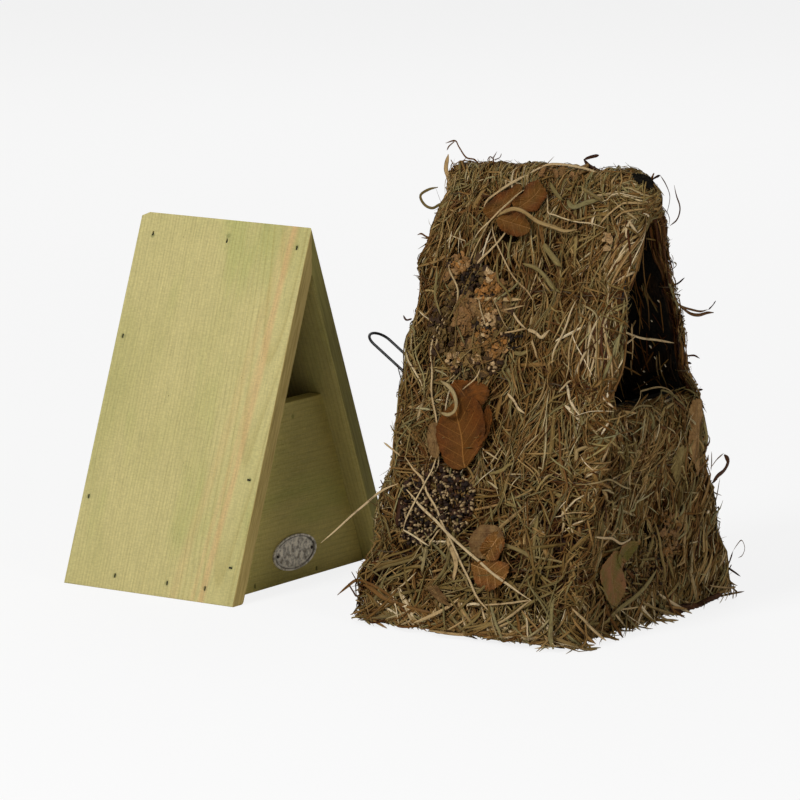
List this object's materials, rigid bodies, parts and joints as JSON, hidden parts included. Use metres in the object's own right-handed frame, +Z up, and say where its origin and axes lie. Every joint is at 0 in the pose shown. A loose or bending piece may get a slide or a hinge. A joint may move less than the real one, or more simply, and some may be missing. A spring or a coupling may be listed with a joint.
{
  "type": "bird nesting box",
  "caption": "A-frame bird nesting box of pine boards with an open upper front, beside its hollow hay camouflage cover, which lifts away and carries a swinging wire hanging loop.",
  "frame": {"origin": "centre of the timber box's base, on the surface that both items stand on", "axes": "+Z up, -Y towards the side that both open fronts face, +X to the right seen from the front"},
  "size_m": [0.2296, 0.4304, 0.316],
  "materials": {
    "roof_pine": "raw sawn",
    "panel_pine": "raw sawn",
    "nail_steel": "dull",
    "plate_metal": "satin",
    "hay": "dry hay",
    "lining_felt": "matte",
    "frame_wire": "satin black",
    "loop_wire": "satin black",
    "binding_wire": "dull green",
    "brown_leaf": "dry leaf",
    "tan_leaf": "dry leaf",
    "olive_leaf": "dry leaf",
    "bark": "rough",
    "seed_heads": "rough"
  },
  "bodies": {
    "nest_box": {"roof_board_left": "roof_pine", "roof_board_right": "roof_pine", "floor_board": "panel_pine", "front_panel": "panel_pine", "back_panel": "panel_pine", "ridge_nails": "nail_steel", "left_floor_nails": "nail_steel", "right_floor_nails": "nail_steel", "left_back_panel_nails": "nail_steel", "right_back_panel_nails": "nail_steel", "left_front_panel_nails": "nail_steel", "right_front_panel_nails": "nail_steel", "front_end_nails": "nail_steel", "back_end_nails": "nail_steel", "oval_plate": "plate_metal", "plate_pins": "plate_metal"},
    "cover": {"hay_left_wall": "hay", "hay_right_wall": "hay", "hay_back_wall": "hay", "hay_front_sill": "hay", "hay_crown": "hay", "lining_left": "lining_felt", "lining_right": "lining_felt", "lining_back": "lining_felt", "lining_front": "lining_felt", "front_frame_wire": "frame_wire", "rear_frame_wire": "frame_wire", "ridge_rail": "frame_wire", "left_base_rail": "frame_wire", "right_base_rail": "frame_wire", "left_middle_rail": "frame_wire", "right_middle_rail": "frame_wire", "sill_wire": "frame_wire", "rear_cross_wire": "frame_wire", "hanger_staple": "frame_wire", "binding_wires": "binding_wire", "large_brown_leaf": "brown_leaf", "brown_leaf_behind": "brown_leaf", "tan_leaf": "tan_leaf", "lobed_leaves": "brown_leaf", "low_tan_leaf": "tan_leaf", "low_brown_leaf": "brown_leaf", "bark_flakes": "bark", "seed_heads": "seed_heads", "olive_leaf": "olive_leaf", "seed_pod": "tan_leaf", "broad_blade": "tan_leaf"},
    "loop": {"hanging_loop": "loop_wire"}
  },
  "joints": [
    {"name": "cover_lift", "type": "slide", "parent": "nest_box", "child": "cover", "axis": [0, 0, 1], "range_m": [0, 0.3]},
    {"name": "loop_swing", "type": "hinge", "parent": "cover", "child": "loop", "pos_m": [0.02, -0.17432, 0.144], "axis": [1, 0, 0], "range_deg": [-124, 56]}
  ]
}
